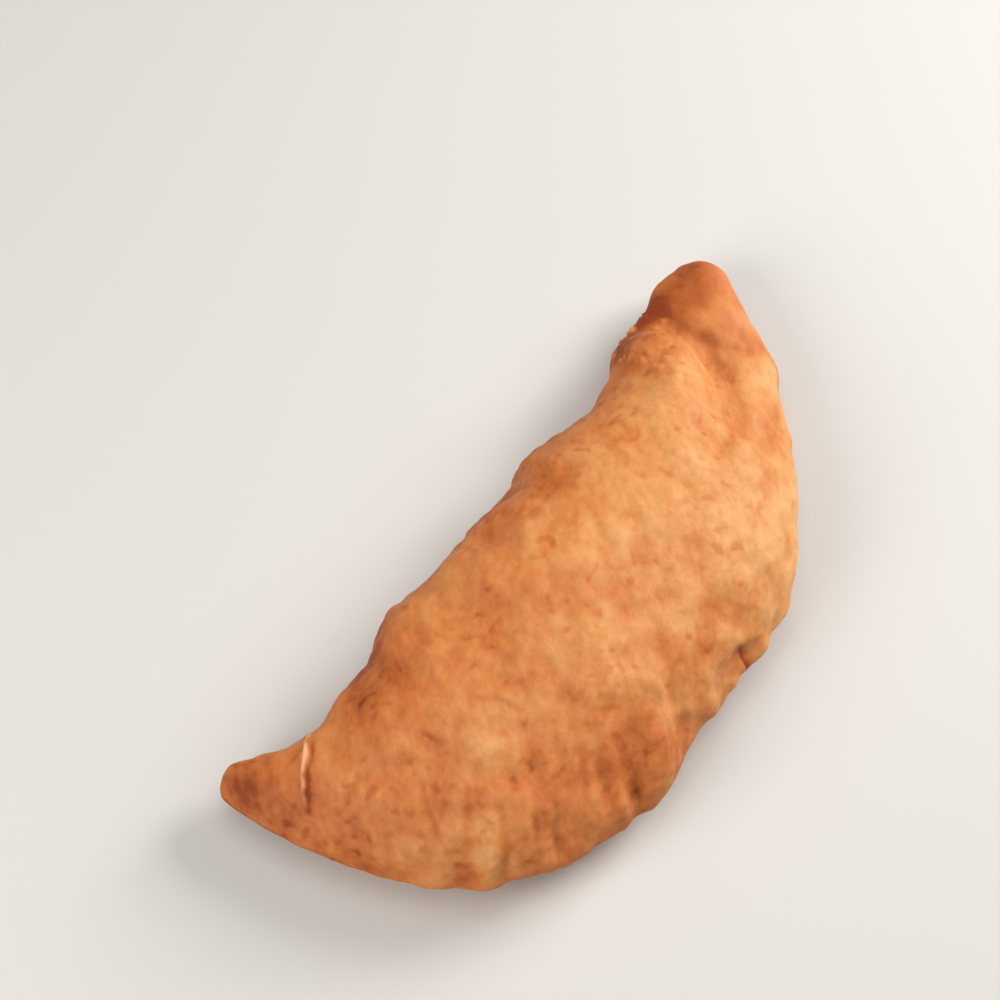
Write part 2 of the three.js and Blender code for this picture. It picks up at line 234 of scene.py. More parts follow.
def smooth_crust(x, angle):
    """The section at x as a lopsided superellipse, from the seam (0) over the top to the fold (pi) and back
    underneath: y goes from seam to fold as (1 - cos) / 2, z is the level plus height * |sin| to a power."""
    rise = np.sin(angle)
    side = np.cos(angle)
    across = (1 - side) / 2
    y = seam_y(x) + (fold_y(x) - seam_y(x)) * across
    x = x + 0 * y
    power = SECTION_POWER - SECTION_POWER_FALL * across
    out, share, _ = beside(x, y, SHOULDER)
    melted = ease(share, *SHOULDER_MELTS)
    rounded = 1 - (1 - share_of(-out / SHOULDER_ROUNDING)) ** 2
    shoulder = rounded + (1 - rounded) * melted
    valley = VALLEY_DEPTH * bell(out, VALLEY_AT, VALLEY_WIDTH) * (1 - melted) * closing(x, VALLEY_BLUNTNESS)
    body = closing(x, BODY_BLUNTNESS)
    height = HORN_TOP * body + (DOME - HORN_TOP) * filling(x) * shoulder
    depth = HORN_DEPTH * body + (DEPTH - HORN_DEPTH) * filling(x)
    lift = np.abs(rise) ** power
    line = np.stack([x, 0 * x, 0 * x], -1)
    wander = SEAM_WANDER * noise(line, WANDER_PITCH, seed=21) * (1 - ease(across, 0, WANDER_REACH))
    level = SEAM_LEVEL + (FOLD_LEVEL - SEAM_LEVEL) * across - HORN_DROP * np.abs(x / HALF) ** 3 + wander
    over = height * lift * (1 - LEAN * side) - valley * lift
    under = -depth * np.abs(rise) ** (power * UNDERSIDE_POWER)
    return np.stack([x, y, level + np.where(rise > 0, over, under)], -1)


u = np.linspace(0, 1, STATIONS)
v = np.linspace(0, 1, ROWS, endpoint=False)
station = HALF * (-np.cos(np.pi * u) * (1 - EVENNESS) + (2 * u - 1) * EVENNESS)[:, None]
over_the_top = np.pi * v / TOP_SHARE
back_underneath = np.pi + np.pi * (v - TOP_SHARE) / (1 - TOP_SHARE)
angle = np.where(v < TOP_SHARE, over_the_top, back_underneath)[None]
smooth = smooth_crust(station, angle)
plan_x, plan_y = smooth[..., 0], smooth[..., 1]
rise = np.sin(angle) + 0 * plan_x
side = np.cos(angle) + 0 * plan_x
up = ease(rise, *UPPER_SIDE)

# ---- Creases and dents ----
# The near horn is folded over, which cracked its skin: a thin pale lip stands beside a crease. A dent
# runs in from the fold, and a few short wrinkles lie where the skin dried before it set.
NEAR_CREASE = lay_route([
    (-79, -2.5), (-83.5, -6), (-87.2, -8.8), (-90.6, -11.3), (-93.9, -13.5), (-96.9, -15.8), (-99, -17.5),
    (-100.9, -19.3), (-103.2, -22.2), (-104.5, -25),
])
CREASE_OPENS, LIP_FADES, CREASE_FADES = (0.1, 0.3), (0.7, 0.95), (0.85, 1)
LIP_HEIGHT, LIP_WIDTH, LIP_NARROWS = 0.7 * MM, 0.8 * MM, 0.3 * MM
CREASE_AT, CREASE_NEARS, CREASE_DEPTH, CREASE_WIDTH = 1.8 * MM, 0.9 * MM, 1.2 * MM, 0.8 * MM
HOLLOW_AT, HOLLOW_DEPTH, HOLLOW_WIDTH = 5 * MM, 0.6 * MM, 5 * MM
UNEVEN_SHARE, UNEVEN_SHIFT, TEAR_SHIFT = 0.4, 0.4 * MM, 0.35 * MM
END_FADE = 1.5 * MM
DENT = lay_route([(15, 8), (12, -4), (15, -16), (21, -28)])
DENT_DEPTH, DENT_WIDTH, DENT_END = 1.6 * MM, 7 * MM, 4 * MM
FAR_FOOT = lay_route([(83, 6), (85, -1), (84.5, -10), (82, -18), (76, -26)])
FOOT_DEPTH, FOOT_WIDTH = 0.35 * MM, 2.2 * MM
DENT_FADES = (0.5, 1)
# The route, its depth and its width.
WRINKLES = [
    ([(-76, -40), (-79.8, -44.9), (-83, -49.7), (-86.2, -55.1), (-87, -58)], 0.5 * MM, 0.9 * MM),
    ([(-82, -28), (-85.1, -29.2), (-88.7, -28.8), (-93.4, -29.6), (-96, -31)], 0.6 * MM, 1.3 * MM),
    ([(-70, -52), (-74.1, -56.7), (-78.7, -62.2), (-80, -66)], 0.3 * MM, 1.0 * MM),
    ([(-54, -38), (-50, -43), (-48, -47), (-47, -53)], 0.25 * MM, 0.9 * MM),
    ([(83, -9), (86, -19), (88.5, -26), (93, -32)], 0.9 * MM, 2.4 * MM),
    ([(12, -84), (8, -82), (3, -79), (-1, -77)], 0.25 * MM, 2.0 * MM),
]
WRINKLE_OPENS, WRINKLE_FADES = (0, 0.2), (0.75, 1)
WRINKLE_SHIFT, WRINKLE_RIM = 0.3 * MM, 0.2

crease_out, crease_share, crease_past = beside(plan_x, plan_y, NEAR_CREASE)
uneven = noise(smooth, 5 * MM, seed=17)
torn = noise(smooth, 2.2 * MM, seed=18)
lip_width = (LIP_WIDTH - LIP_NARROWS * crease_share) * (1 + UNEVEN_SHARE * uneven)
crease_at = CREASE_AT - CREASE_NEARS * crease_share + UNEVEN_SHIFT * uneven
crease_open = up * bell(crease_past, 0, END_FADE) * ease(crease_share, *CREASE_OPENS)
crease_shown = crease_open * (1 - ease(crease_share, *CREASE_FADES))
lip = crease_open * (1 - ease(crease_share, *LIP_FADES)) * bell(crease_out, TEAR_SHIFT * torn, lip_width)
crease = crease_shown * bell(crease_out, crease_at + TEAR_SHIFT * torn, CREASE_WIDTH)
hollow = crease_shown * bell(crease_out, HOLLOW_AT, HOLLOW_WIDTH)
relief = LIP_HEIGHT * lip * (1 + UNEVEN_SHARE * torn) - CREASE_DEPTH * crease - HOLLOW_DEPTH * hollow

dent_out, dent_share, dent_past = beside(plan_x, plan_y, DENT)
dent = up * (1 - ease(dent_share, *DENT_FADES)) * bell(dent_past, 0, DENT_END) * bell(dent_out, 0, DENT_WIDTH)
relief -= DENT_DEPTH * dent

foot_out, foot_share, foot_past = beside(plan_x, plan_y, FAR_FOOT)
foot = up * (1 - ease(foot_share, *DENT_FADES)) * bell(foot_past, 0, END_FADE) * bell(foot_out, 0, FOOT_WIDTH)
relief -= FOOT_DEPTH * foot

wrinkled = 0 * relief
for route, depth, width in WRINKLES:
    out, share, past = beside(plan_x, plan_y, lay_route(route))
    shown = up * ease(share, *WRINKLE_OPENS) * (1 - ease(share, *WRINKLE_FADES)) * bell(past, 0, END_FADE)
    furrow = bell(out, WRINKLE_SHIFT * torn, width)
    raised_rim = WRINKLE_RIM * bell(out, -2.5 * width, 2 * width)
    relief -= shown * depth * (furrow - raised_rim)
    wrinkled += shown * bell(out, 0, width)

# ---- The pinched seam ----
# The two edges of dough are pressed together with the fingertips: a ridge with a groove under it, ruffles
# that run inwards and fade over the crust, and one tuck where there was too much dough for the curve.
TUCK = lay_route([(7, -95), (9.5, -90), (10.6, -86.4), (11, -84.2), (11, -82)])
TUCK_DEPTH, TUCK_EDGE, TUCK_WIDTH, TUCK_FADES = 1.3 * MM, 0.9 * MM, 3.2 * MM, (0.55, 0.95)
AT_SEAM_SIDE, AT_SEAM_RISE = (0, 0.6), (0, 0.3)
RIDGE_HEIGHT, RIDGE_WIDTH, RIDGE_RUFFLED = 0.7 * MM, 0.14, 0.8
GROOVE_DEPTH, GROOVE_AT, GROOVE_WIDTH = 1.3 * MM, 2 * np.pi - 0.34, 0.16
PRINT_NEAR, PRINT_FAR, PRINT_EASES_OFF = 0.8 * MM, 0.4 * MM, (10 * MM, 30 * MM)
PRINT_PITCH, PRINT_REACH, PRINT_RISE = 7.5 * MM, 15 * MM, (0.02, 0.3)
PRINTS_BELOW, REACH_BELOW = 0.5, 0.7
RUFFLE_PITCH, RUFFLE_LENGTH, RUFFLE_REACH = 4.2 * MM, 15 * MM, 24 * MM
RUFFLE_HEIGHT = 2.0 * MM
RUFFLE_AT_RIM, RUFFLE_RISE = 0.3, (0.05, 0.4)
RUFFLE_TURN = math.radians(39.7)
RUFFLES_FROM, RUFFLES_UNTIL = (50 * MM, 75 * MM), (-20 * MM, 8 * MM)
NEAR_HORN_SHARE, NEAR_HORN_OVER = 0.4, (-90 * MM, -60 * MM)
SEAM_RELIEF_BLUNTNESS = 8

at_seam = ease(side, *AT_SEAM_SIDE) * ease(rise, *AT_SEAM_RISE)
tuck_out, tuck_share, tuck_past = beside(plan_x, plan_y, TUCK)
tuck_shown = at_seam * (1 - ease(tuck_share, *TUCK_FADES)) * bell(tuck_past, 0, END_FADE)
tuck = tuck_shown * ease(-tuck_out, 0, TUCK_EDGE) * bell(tuck_out, 0, TUCK_WIDTH)
relief -= TUCK_DEPTH * tuck

inwards = np.abs(plan_y - seam_y(plan_x))
prints = noise(np.stack([plan_x, plan_y, 0 * plan_x], -1), PRINT_PITCH, seed=9)
crosswise = plan_x * math.cos(RUFFLE_TURN) - plan_y * math.sin(RUFFLE_TURN)
lengthwise = plan_x * math.sin(RUFFLE_TURN) + plan_y * math.cos(RUFFLE_TURN)
stretched = np.stack([crosswise / RUFFLE_PITCH, lengthwise / RUFFLE_LENGTH, 0 * plan_x], -1)
ruffles = noise(stretched, 1.0, seed=5)
ruffled = up * bell(inwards, 0, RUFFLE_REACH) * ease(-plan_y, *RUFFLES_FROM)
ruffled *= 1 - ease(plan_x, *RUFFLES_UNTIL)
ruffled *= NEAR_HORN_SHARE + (1 - NEAR_HORN_SHARE) * ease(plan_x, *NEAR_HORN_OVER)
ruffled *= RUFFLE_AT_RIM + (1 - RUFFLE_AT_RIM) * ease(rise, *RUFFLE_RISE)
ridge = bell(angle, 0, RIDGE_WIDTH) + bell(angle, 2 * np.pi, RIDGE_WIDTH)
groove = bell(angle, GROOVE_AT, GROOVE_WIDTH)
above = up * bell(inwards, 0, PRINT_REACH) * ease(rise, *PRINT_RISE)
below = PRINTS_BELOW * (1 - up) * bell(inwards, 0, PRINT_REACH * REACH_BELOW)
print_depth = PRINT_NEAR + (PRINT_FAR - PRINT_NEAR) * ease(plan_x, *PRINT_EASES_OFF)
seam = RIDGE_HEIGHT * ridge * (1 + RIDGE_RUFFLED * ruffles) - GROOVE_DEPTH * groove
seam += print_depth * prints * (above - below)
relief += closing(plan_x, SEAM_RELIEF_BLUNTNESS) * (seam + RUFFLE_HEIGHT * ruffles * ruffled)

# ---- Lumps and blisters ----
# Hot oil turns water in the skin to steam: broad low blisters over the crust, a crowd of small ones at
# the far end of the fold, and a fine unevenness everywhere.
# Size and height in millimetres, then the seed.
LUMPS = [(46, 1.5, 3), (23, 0.8, 4), (14, 1.1, 6)]
SKIN = [(8, 0.7, 11), (4.4, 0.42, 12), (2.4, 0.18, 13)]
EDGE_SHARE, EDGE_RISE = 0.35, (0.2, 0.7)
BROAD_ALONG, BROAD_ACROSS = (-0.8 * HALF, 0.8 * HALF), (0.12, 0.92)
BROAD_BLISTERS, BROAD_RADIUS, BROAD_HEIGHT = 16, (5 * MM, 9 * MM), (0.5 * MM, 1.1 * MM)
CROWDED_BLISTERS, CROWDED_RADIUS, CROWDED_HEIGHT = 34, (0.9 * MM, 2.4 * MM), (0.3 * MM, 0.8 * MM)
CROWDED_ALONG, CROWDED_ROUND = (61 * MM, 84 * MM), (0.64 * np.pi, 0.98 * np.pi)
SMALL_BLISTERS, SMALL_RADIUS, SMALL_HEIGHT = 150, (1.2 * MM, 3.2 * MM), (0.15 * MM, 0.4 * MM)
SMALL_ALONG, SMALL_ROUND = (-0.95 * HALF, 0.95 * HALF), (0, 2 * np.pi)
RELIEF_BLUNTNESS = 6


def drawer(seed):
    """A function that draws evenly between two limits, from a fixed seed: each draw is the last one times
    16807, less whole multiples of the divisor."""
    state = [seed]
    divisor = 2**31 - 1

    def draw(start, end):
        state[0] = state[0] * 16807 % divisor
        return start + (end - start) * state[0] / divisor

    return draw


def broad_blister(draw):
    """A low dome over a drawn place on the plan: height times (1 - (distance / radius) squared) squared."""
    x = draw(*BROAD_ALONG)
    edge = float(seam_y(np.array(x)))
    y = edge + (float(fold_y(np.array(x))) - edge) * draw(*BROAD_ACROSS)
    radius = draw(*BROAD_RADIUS)
    dome = share_of(1 - ((plan_x - x) ** 2 + (plan_y - y) ** 2) / radius**2) ** 2
    return up * dome * draw(*BROAD_HEIGHT)


def small_blister(draw, along, round_section, radii):
    """The same dome, height 1, over a place drawn by its station and its angle round the section."""
    place = np.abs(station[:, 0] - draw(*along)).argmin(), np.abs(angle[0] - draw(*round_section)).argmin()
    return share_of(1 - ((smooth - smooth[place]) ** 2).sum(-1) / draw(*radii) ** 2) ** 2


lumps = sum(height * MM * noise(smooth, size * MM, seed) for size, height, seed in LUMPS)
relief += lumps * (EDGE_SHARE + (1 - EDGE_SHARE) * ease(np.abs(rise), *EDGE_RISE))
draw_broad = drawer(7)
for _ in range(BROAD_BLISTERS):
    relief += broad_blister(draw_broad)

draw_small = drawer(1913)
crowded = 0 * relief
for _ in range(CROWDED_BLISTERS):
    dome = small_blister(draw_small, CROWDED_ALONG, CROWDED_ROUND, CROWDED_RADIUS)
    relief += dome * draw_small(*CROWDED_HEIGHT)
    crowded = np.maximum(crowded, dome)
bubbled = 0 * relief
for _ in range(SMALL_BLISTERS):
    dome = small_blister(draw_small, SMALL_ALONG, SMALL_ROUND, SMALL_RADIUS)
    relief += dome * draw_small(*SMALL_HEIGHT)
    bubbled = np.maximum(bubbled, dome)

skin = sum(height * MM * noise(smooth, size * MM, seed) for size, height, seed in SKIN)
relief += skin
relief *= closing(plan_x, RELIEF_BLUNTNESS)

# ---- The crust as one closed skin ----
# One skin, closed at both tips. Each point of the smooth crust moves out by the relief along its normal,
# the underside settles on three low feet round a flat patch, and the mesh takes the solid's place.
FEET = [(-50 * MM, -24 * MM), (44 * MM, -30 * MM), (-2 * MM, -63 * MM)]
FOOT_RADIUS = 20 * MM
PATCH = (0, -41 * MM)
PATCH_FLAT, PATCH_END = 6 * MM, 16 * MM
CLEARANCE = 0.6 * MM
FEET_PROUD = 0.1 * MM
FLOOR_ROUNDING = 0.6 * MM


def settled(points):
    """What would reach below the rest level becomes that level, (over + r) squared / 4r above it near its
    edge. The level is the clearance, less a cone at each foot, and nothing in the flat patch."""
    x, y, z = np.moveaxis(points, -1, 0)
    foot = np.max([share_of(1 - np.hypot(x - fx, y - fy) / FOOT_RADIUS) for fx, fy in FEET], axis=0)
    patch = 1 - ease(np.hypot(x - PATCH[0], y - PATCH[1]), PATCH_FLAT, PATCH_END)
    level = CLEARANCE * (1 - np.maximum(foot, patch)) - FEET_PROUD * foot
    over = z - level
    soft = level + (over + FLOOR_ROUNDING) ** 2 / (4 * FLOOR_ROUNDING)
    return np.where(over > FLOOR_ROUNDING, z, np.where(over < -FLOOR_ROUNDING, level, soft))


def outward(points):
    """Unit normals: the cross product of the grid's differences along and round the crust."""
    along = np.gradient(points, axis=0)
    around = np.roll(points, -1, 1) - np.roll(points, 1, 1)
    normal = np.cross(along, around)
    normal /= np.maximum(np.linalg.norm(normal, axis=-1, keepdims=True), 1e-12)
    normal[0] = (-1, 0, 0)
    normal[-1] = (1, 0, 0)
    return normal


def skin_mesh(name, points):
    """A closed mesh over a grid of sections: quads between sections, and a fan at each tip."""
    sections, rows = points.shape[0] - 2, points.shape[1]
    vertices = np.vstack([points[1:-1].reshape(-1, 3), points[0, :1], points[-1, :1]])
    row = np.arange(rows)
    turn = (row + 1) % rows
    first = np.arange(sections - 1)[:, None] * rows
    quads = np.stack([first + row, first + rows + row, first + rows + turn, first + turn], -1)
    near_tip = np.stack([np.full(rows, sections * rows), row, turn], -1)
    last = (sections - 1) * rows
    far_tip = np.stack([np.full(rows, sections * rows + 1), last + turn, last + row], -1)
    mesh = bpy.data.meshes.new(name)
    faces = quads.reshape(-1, 4).tolist() + near_tip.tolist() + far_tip.tolist()
    mesh.from_pydata(vertices.tolist(), [], faces)
    mesh.shade_smooth()
    return mesh


def per_vertex(mesh, name, values):
    """Keeps a value of each grid point with the mesh, for the finish to read."""
    flat = np.concatenate([values[1:-1].ravel(), values[0, :1], values[-1, :1]])
    mesh.attributes.new(name, "FLOAT", "POINT").data.foreach_set("value", flat.astype(np.float32))


raised = smooth + outward(smooth) * relief[..., None]
raised[..., 2] = settled(raised)
lowest, highest = raised.min((0, 1)), raised.max((0, 1))
middle = (lowest + highest) / 2
raised -= (middle[0], middle[1], lowest[2])
calzone_mesh = skin_mesh("fried_crust", raised)
calzone = bpy.data.objects.new("fried_crust", calzone_mesh)
bpy.context.scene.collection.objects.link(calzone)

# ---- Browning and painted shade ----
# The oil browns what is thin, high or long under the surface: both horns, the fold and some blotches. The
# filled body stays golden, palest near the seam. The same value also carries painted shade and painted
# light: browner in the hollows of the relief and along rims where little light falls, paler on bumps.
# Kept with the mesh for the finish to read.
GOLDEN = 0.38
# Place and radius in millimetres, then how much browner, or paler where negative. Some are real
# blotches; many are painted shade or painted light, darkening or lightening spots where the shading falls.
BLOTCHES_AND_PAINTED_SHADING = [
    (-108, -5, 13, 0.52), (-109, -18, 8, 0.20), (-104, -34, 9, 0.18), (-86, -42, 7, 0.18),
    (-72, -15, 7, 0.14), (-64, -20, 18, 0.16), (-60, -6, 14, 0.28), (-35, -42, 16, 0.12),
    (-18, -6, 20, 0.12), (14, -14, 12, 0.22), (28, -36, 14, -0.12), (-8, -50, 18, -0.10),
    (-60, -51, 15, -0.22), (38, -66, 34, -0.20), (45, -70, 24, -0.12), (38, -60, 13, 0.08),
    (10, -65, 8, 0.12), (82, -36, 12, -0.06), (51, -20, 10, -0.20), (66, -22, 8, -0.10),
    (93, 2, 12, 0.26), (103, -2, 9, 0.16), (86, 5, 5, 0.50), (107, 5, 6, 0.30), (72, 0, 8, 0.10),
    (-37, -80, 9, 0.18), (-22, -82, 7, 0.18), (-24, -90, 8, 0.22), (-47, -88, 9, 0.24),
    (-64, -81, 7, -0.26), (-57, -75, 6, 0.18), (-73, -69, 7, 0.16), (-84, -66, 9, -0.14),
    (-40, -87, 4, -0.14), (10, -87, 5, 0.14), (46, -8, 10, 0.12), (96, -31, 7, 0.16),
]
PAST_FOOT_STARTS, PAST_FOOT_ENDS = (0, 9 * MM), (2 * MM, 24 * MM)
VALLEY_SHADE_AT, VALLEY_SHADE_WIDTH = 2 * MM, 3.5 * MM
VALLEY_SHADE_STARTS, VALLEY_SHADE_ENDS = (0.3, 0.5), (0.75, 1)
EVENED, EVEN_HORN_STARTS, EVEN_HORN_ENDS = 0.65, (0, 10 * MM), (24 * MM, 44 * MM)
# Bands along the fold edge and its blistered far end: partly browning, partly painted shade.
CROWD_BAND, CROWD_STARTS, CROWD_ENDS = (0.92 * np.pi, 0.13 * np.pi), (56 * MM, 64 * MM), (82 * MM, 88 * MM)
BLISTERS_PALER = 1.2
FOLD_BAND = (0.97 * np.pi, 0.11 * np.pi)
FOLD_BAND_STARTS, FOLD_BAND_ENDS = (-75 * MM, -50 * MM), (45 * MM, 60 * MM)
# Painted shade round the seam rim of the near half and over the underside, where little light comes from
# below.
SEAM_BAND, SEAM_BAND_ENDS = (0, 0.12 * np.pi), (-45 * MM, -20 * MM)
UNDERSIDE_STARTS = (0, 0.5)
STREAK_PITCH, STREAK_LENGTH = 3.4 * MM, 8 * MM
STREAKED_SIDE, STREAKS_END = (0, 0.7), (-10 * MM, 20 * MM)
# Painted shade in the tuck's pit, on one side of its sharp edge, narrowing inwards from the rim.
TUCK_SHADE_RISE, TUCK_SHADE_FADES, TUCK_SHADE_EDGE = (-0.05, 0.05), (0.75, 1), (-0.3 * MM, 0.5 * MM)
TUCK_SHADE_WIDTH, TUCK_SHADE_NARROWS = 3.4 * MM, 2.4 * MM
PALE_SHIFT, PALE_WIDTH = 0.25 * MM, 0.9
PALE_DIMMED, PALE_DIMS, PALE_TORN = 0.5, (0.35, 0.75), 0.5

shoulder_out, shoulder_share, _ = beside(plan_x, plan_y, SHOULDER)
past_foot = ease(shoulder_out, *PAST_FOOT_STARTS) * (1 - ease(-plan_y, *PAST_FOOT_ENDS))
in_valley = up * bell(shoulder_out, VALLEY_SHADE_AT, VALLEY_SHADE_WIDTH)
in_valley *= ease(shoulder_share, *VALLEY_SHADE_STARTS) * (1 - ease(shoulder_share, *VALLEY_SHADE_ENDS))
even = 1 - EVENED * ease(shoulder_out, *EVEN_HORN_STARTS) * (1 - ease(-plan_y, *EVEN_HORN_ENDS))
crowd = bell(angle, *CROWD_BAND) * ease(plan_x, *CROWD_STARTS) * (1 - ease(plan_x, *CROWD_ENDS))
fold_browning_and_shade = bell(angle, *FOLD_BAND) * ease(plan_x, *FOLD_BAND_STARTS) * (1 - ease(plan_x, *FOLD_BAND_ENDS))
seam_rim_shade = bell(angle, *SEAM_BAND) * (1 - ease(plan_x, *SEAM_BAND_ENDS))
streaked = up * ease(side, *STREAKED_SIDE) * (1 - ease(plan_x, *STREAKS_END))
drawn_out = np.stack([crosswise / STREAK_PITCH, lengthwise / STREAK_LENGTH, 0 * plan_x], -1)
streaks = noise(drawn_out, 1.0, seed=33)
tuck_shade = ease(rise, *TUCK_SHADE_RISE) * (1 - ease(tuck_share, *TUCK_SHADE_FADES))
tuck_shade *= bell(tuck_past, 0, END_FADE) * ease(-tuck_out, *TUCK_SHADE_EDGE)
tuck_shade *= bell(tuck_out, 0, TUCK_SHADE_WIDTH - TUCK_SHADE_NARROWS * tuck_share)

# Browning, with painted shade and painted light added in.
browned_and_shaded = GOLDEN + 0 * plan_x
for x, y, radius, strength in BLOTCHES_AND_PAINTED_SHADING:
    browned_and_shaded += strength * np.exp(-(((plan_x / MM - x) ** 2 + (plan_y / MM - y) ** 2) / radius**2))
for strength, mask in [
    (0.08, past_foot),
    # Browner in the valley at the shoulder's foot: browning and painted shade of the hollow.
    (0.06, in_valley),
    # Browner along the blistered far end of the fold, partly painted shade; paler on the blisters.
    (0.62, crowd * (1 - BLISTERS_PALER * crowded)),
    # Painted shade over the underside.
    (0.14, ease(-rise, *UNDERSIDE_STARTS)),
    # Browner in the crease, the wrinkles and the far foot: browning and painted shade of these hollows.
    (0.30, crease),
    (0.14, wrinkled),
    (0.10, foot),
    # Painted shade in the tuck.
    (0.90, tuck_shade),
    (0.06, bubbled),
    # Browner in the grooves between ruffles, paler on their ridges: painted shade and painted light.
    (-0.10, ruffles * streaked),
    (-0.10, streaks * streaked),
    # Browner in the dents of the prints, paler on their rims: painted shade and painted light.
    (-0.22, prints * above),
    # The fold edge band: partly browning, partly painted shade.
    (0.34, fold_browning_and_shade),
    # Painted shade round the near seam rim.
    (0.18, seam_rim_shade),
    # Browner in the dents of the skin and lumps, paler on their tops: painted shade and painted light.
    (-0.10, skin / MM),
    (-0.05, lumps / MM),
    (0.10, even * noise(smooth, 17 * MM, seed=31)),
    (0.10, even * noise(smooth, 8 * MM, seed=32)),
]:
    browned_and_shaded += strength * mask

pale = up * bell(crease_past, 0, END_FADE) * (1 - ease(crease_share, *LIP_FADES))
pale *= bell(crease_out, TEAR_SHIFT * torn + PALE_SHIFT * uneven, PALE_WIDTH * lip_width)
pale *= (1 - PALE_DIMMED * ease(crease_share, *PALE_DIMS)) * (1 + PALE_TORN * torn)
per_vertex(calzone_mesh, "browned_and_shaded", browned_and_shaded)
per_vertex(calzone_mesh, "speckled", even)
per_vertex(calzone_mesh, "cracked", pale)

# ---- The fried finish ----
# A thin, dry, faintly oily skin: gold to red-brown where it browned or where shade is painted into it,
# speckled where single blisters took more heat, pale along the crack, with a leathery grain too fine to be
# worth modelling.
# From barely to deeply browned, with the two ends of the scale first.
BROWNED_COLOURS = [
    (0.00, (0.68, 0.335, 0.128, 1)),
    (1.00, (0.26, 0.046, 0.008, 1)),
    (0.20, (0.62, 0.275, 0.090, 1)),
    (0.40, (0.57, 0.205, 0.058, 1)),
    (0.60, (0.50, 0.148, 0.036, 1)),
    (0.80, (0.39, 0.100, 0.020, 1)),
]
CRACK_COLOUR, CRACK_COVER, CRACK_RANGE = (0.78, 0.47, 0.25, 1), 0.75, (0.1, 1.1)
GRAIN_STRETCH = 1.7
COARSE_SIZE, COARSE_SHADE = 5 * MM, 0.62
FINE_SIZE, FINE_SHADE = 2.1 * MM, 0.36
SPECK_SIZE, SPECK_RANGE, SPECK_SHADE = 3 * MM, (0.55, 0.85), 0.24
SPECKED_SIZE, SPECKED_RANGE = 12 * MM, (0.40, 0.60)
GLOSS_SIZE, DULLNESS, DULLNESS_SPREAD = 6 * MM, 0.58, 0.24
PORE_SIZE, PORE_HEIGHT = 1.2 * MM, 0.12 * MM
PEBBLE_SIZE, PEBBLE_HEIGHT = 1.6 * MM, 0.07 * MM
DUST_SIZE, DUST_HEIGHT = 0.4 * MM, 0.02 * MM


class Tone:
    """A socket of the finish's nodes. Arithmetic on it adds Math nodes, so that 1 - mask works."""

    def __init__(self, tree, socket):
        self.tree = tree
        self.socket = socket

    @classmethod
    def add(cls, tree, kind, settings=None, values=None, output=0):
        """Any node of that kind: its settings first, then the values or links of its sockets. A colour ramp
        comes with its first two stops, and any more are added."""
        node = tree.nodes.new(kind)
        for name, setting in (settings or {}).items():
            if name == "stops":
                marks = node.color_ramp.elements
                for stop, (position, colour) in enumerate(setting):
                    mark = marks[stop] if stop < 2 else marks.new(position)
                    mark.position = position
                    mark.color = colour
            else:
                setattr(node, name, setting)
        for name, value in (values or {}).items():
            if isinstance(value, cls):
                tree.links.new(value.socket, node.inputs[name])
            else:
                node.inputs[name].default_value = value
        return cls(tree, node.outputs[output])

    def math(self, operation, first, second):
        return Tone.add(self.tree, "ShaderNodeMath", {"operation": operation}, {0: first, 1: second})

    def __add__(self, other):
        return self.math("ADD", self, other)

    def __sub__(self, other):
        return self.math("SUBTRACT", self, other)

    def __rsub__(self, other):
        return self.math("SUBTRACT", other, self)

    def __mul__(self, other):
        return self.math("MULTIPLY", self, other)

    __radd__ = __add__
    __rmul__ = __mul__

    def between(self, start, end):
        """0 below start, 1 above end, eased between."""
        return Tone.add(
            self.tree, "ShaderNodeMapRange", {"interpolation_type": "SMOOTHSTEP"},
            {"Value": self, "From Min": start, "From Max": end},
        )


crust = bpy.data.materials.new("fried_crust")
crust.use_nodes = True
tree = crust.node_tree
shader = tree.nodes["Principled BSDF"]
place = Tone.add(tree, "ShaderNodeTexCoord", output="Object")
along_ruffles = Tone.add(
    tree, "ShaderNodeMapping", {"vector_type": "TEXTURE"},
    {"Vector": place, "Rotation": (0, 0, -RUFFLE_TURN), "Scale": (1.0, GRAIN_STRETCH, 1.0)},
)


def grain(size, detail=2.0, roughness=0.55, over=place):
    """Noise over the crust with features of that size, from 0 to 1."""
    values = {"Vector": over, "Scale": 1 / size, "Detail": detail, "Roughness": roughness}
    return Tone.add(tree, "ShaderNodeTexNoise", None, values)


def cells(size):
    """Distance to the nearest of many scattered points, in cells of that size."""
    values = {"Vector": place, "Scale": 1 / size, "Randomness": 1.0}
    return Tone.add(tree, "ShaderNodeTexVoronoi", {"feature": "F1"}, values)


def blend_colours(factor, under, over):
    """The colour under, covered by the colour over where the factor is 1. The node keeps its colours in
    sockets 6 and 7, and gives the blend as output 2."""
    return Tone.add(tree, "ShaderNodeMix", {"data_type": "RGBA"}, {0: factor, 6: under, 7: over}, 2)


browning_and_shade = Tone.add(tree, "ShaderNodeAttribute", {"attribute_name": "browned_and_shaded"}, output="Fac")
crack = Tone.add(tree, "ShaderNodeAttribute", {"attribute_name": "cracked"}, output="Fac")
speckled = Tone.add(tree, "ShaderNodeAttribute", {"attribute_name": "speckled"}, output="Fac")
coarse = (grain(COARSE_SIZE, 3.0, over=along_ruffles) - 0.5) * COARSE_SHADE
fine = (grain(FINE_SIZE, 2.0, over=along_ruffles) - 0.5) * FINE_SHADE
specks = grain(SPECK_SIZE, 0.0, 0.4).between(*SPECK_RANGE) * grain(SPECKED_SIZE, 1.0).between(*SPECKED_RANGE)
